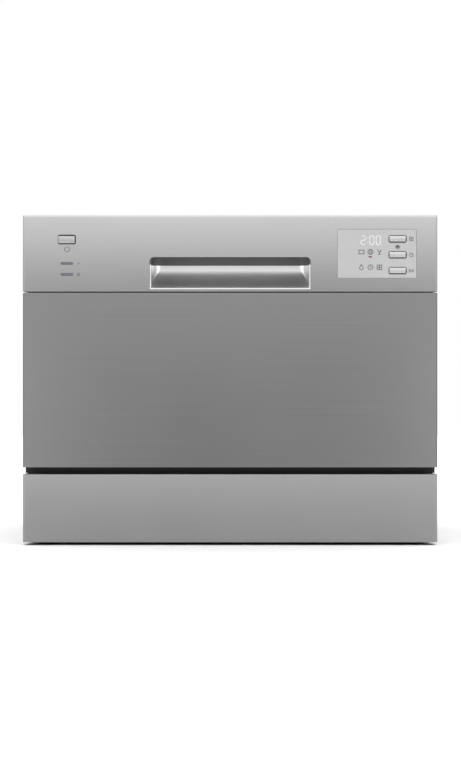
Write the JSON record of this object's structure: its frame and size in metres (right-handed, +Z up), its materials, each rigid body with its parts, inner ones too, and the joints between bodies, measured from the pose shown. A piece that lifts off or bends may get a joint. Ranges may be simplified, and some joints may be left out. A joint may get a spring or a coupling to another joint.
{
  "type": "countertop dishwasher",
  "caption": "Compact box-shaped benchtop dishwasher with a drop-down front door, hand recess, push keys, pull-out wheeled dish rack, spray arm, filter and detergent dispenser.",
  "frame": {"origin": "centre of the overall box's base: on the surface it stands on, midway between the sides and midway between the front-most button faces and the rear-most inlet thread end", "axes": "-Y is the front that faces the user, +X is to the user's right seen from the front, +Z is up"},
  "size_m": [0.55, 0.5, 0.438],
  "materials": {
    "steel_paint": "satin silver-grey powder coat",
    "zinc": "zinc-plated",
    "base_plastic": "matt black",
    "kick": "satin silver-grey",
    "sill": "matt black",
    "stainless": "brushed stainless steel",
    "rubber": "matt",
    "white_moulding": "natural white",
    "grey_moulding": "mid grey",
    "pump": "dark grey",
    "circuit": "green laminate",
    "bitumen": "felt and bitumen",
    "panel": "metallic silver lacquer",
    "door_metal": "satin metallic grey",
    "scoop": "high-gloss silver",
    "pocket": "dark grey",
    "lens": "clear front, backed in light grey",
    "lights": "smoked violet",
    "button": "bright silver lacquer",
    "cap_blue": "blue",
    "rack_coat": "blue-grey nylon"
  },
  "bodies": {
    "cabinet": {"casing": "steel_paint", "back_panel": "zinc", "base_tray": "base_plastic", "kick_panel": "kick", "feet": "base_plastic", "sill_strip": "sill", "tub": "stainless", "door_seal": "rubber", "rack_runners": "grey_moulding", "hinge_brackets": "zinc", "door_springs": "zinc", "latch_housing": "base_plastic", "sump": "white_moulding", "filter_plate": "stainless", "water_heater": "stainless", "wash_pump": "pump", "drain_pump": "pump", "spray_riser": "grey_moulding", "water_softener": "white_moulding", "inlet_valve": "white_moulding", "drain_spigot": "grey_moulding", "cord_gland": "base_plastic", "air_break": "white_moulding", "inner_hoses": "grey_moulding", "power_board": "circuit", "sound_pads": "bitumen", "casing_screws": "zinc", "float_switch": "grey_moulding"},
    "door": {"door_skin": "door_metal", "control_panel": "panel", "door_liner": "stainless", "handle_scoop": "scoop", "finger_pocket": "pocket", "display_lens": "lens", "display_board": "circuit", "indicator_lights": "lights", "door_striker": "zinc", "hinge_arms": "zinc", "dispenser_body": "white_moulding", "liner_screws": "zinc"},
    "power_key": {"power_button": "button"},
    "program_key": {"program_button": "button"},
    "delay_key": {"delay_button": "button"},
    "start_key": {"start_button": "button"},
    "lid": {"dispenser_lid": "grey_moulding"},
    "catch": {"dispenser_catch": "grey_moulding"},
    "rinse_cap": {"rinse_aid_cap": "cap_blue"},
    "rack": {"dish_rack": "rack_coat", "rack_fences": "rack_coat", "rack_carriers": "grey_moulding", "plate_tines": "rack_coat", "cutlery_basket": "grey_moulding"},
    "front_wheel_pair": {"front_wheels": "rack_coat"},
    "rear_wheel_pair": {"rear_wheels": "rack_coat"},
    "left_shelf": {"cup_shelf_left": "rack_coat"},
    "right_shelf": {"cup_shelf_right": "rack_coat"},
    "arm": {"spray_arm": "stainless"},
    "filter": {"filter_cup": "grey_moulding"},
    "salt_lid": {"salt_cap": "white_moulding"},
    "float": {"overfill_float": "white_moulding"}
  },
  "joints": [
    {"name": "door_hinge", "type": "hinge", "parent": "cabinet", "child": "door", "pos_m": [0, -0.235, 0.1154], "axis": [1, 0, 0], "range_deg": [0, 90], "stiffness_Nm_per_rad": 2.2, "springref_deg": -34.38, "deforming": ["door_springs"]},
    {"name": "rack_slide", "type": "slide", "parent": "cabinet", "child": "rack", "axis": [0, -1, 0], "range_m": [0, 0.36]},
    {"name": "front_wheel_spin", "type": "hinge", "parent": "rack", "child": "front_wheel_pair", "pos_m": [0, -0.11, 0.1537], "axis": [1, 0, 0], "continuous": true},
    {"name": "rear_wheel_spin", "type": "hinge", "parent": "rack", "child": "rear_wheel_pair", "pos_m": [0, 0.11, 0.1537], "axis": [1, 0, 0], "continuous": true},
    {"name": "left_shelf_fold", "type": "hinge", "parent": "rack", "child": "left_shelf", "pos_m": [-0.198, -0.017, 0.2874], "axis": [0, -1, 0], "range_deg": [0, 85]},
    {"name": "right_shelf_fold", "type": "hinge", "parent": "rack", "child": "right_shelf", "pos_m": [0.198, -0.017, 0.2874], "axis": [0, 1, 0], "range_deg": [0, 85]},
    {"name": "arm_spin", "type": "hinge", "parent": "cabinet", "child": "arm", "pos_m": [0, -0.0025, 0.141], "axis": [0, 0, 1], "continuous": true},
    {"name": "filter_twist", "type": "hinge", "parent": "cabinet", "child": "filter", "pos_m": [0.07, -0.095, 0.124], "axis": [0, 0, 1], "range_deg": [0, 90]},
    {"name": "salt_cap_turn", "type": "hinge", "parent": "cabinet", "child": "salt_lid", "pos_m": [-0.15, -0.11, 0.124], "axis": [0, 0, 1], "range_deg": [0, 450]},
    {"name": "float_rise", "type": "slide", "parent": "cabinet", "child": "float", "axis": [0, 0, 1], "range_m": [0, 0.004]},
    {"name": "power_press", "type": "slide", "parent": "door", "child": "power_key", "axis": [0, 1, 0], "range_m": [0, 0.002], "stiffness_N_per_m": 400},
    {"name": "program_press", "type": "slide", "parent": "door", "child": "program_key", "axis": [0, 1, 0], "range_m": [0, 0.0012], "stiffness_N_per_m": 500},
    {"name": "delay_press", "type": "slide", "parent": "door", "child": "delay_key", "axis": [0, 1, 0], "range_m": [0, 0.0012], "stiffness_N_per_m": 500},
    {"name": "start_press", "type": "slide", "parent": "door", "child": "start_key", "axis": [0, 1, 0], "range_m": [0, 0.0012], "stiffness_N_per_m": 500},
    {"name": "lid_slide", "type": "slide", "parent": "door", "child": "lid", "axis": [1, 0, 0], "range_m": [0, 0.058]},
    {"name": "catch_press", "type": "slide", "parent": "door", "child": "catch", "axis": [0, -1, 0], "range_m": [0, 0.003], "stiffness_N_per_m": 300},
    {"name": "rinse_cap_turn", "type": "hinge", "parent": "door", "child": "rinse_cap", "pos_m": [0.105, -0.221, 0.264], "axis": [0, 1, 0], "range_deg": [0, 90]}
  ],
  "couplings": [
    {"joint": "rack_slide", "follows": "door_hinge", "m_per_rad": 0.07003},
    {"joint": "front_wheel_spin", "follows": "door_hinge", "ratio": 4.6687},
    {"joint": "rear_wheel_spin", "follows": "door_hinge", "ratio": 4.6687}
  ]
}
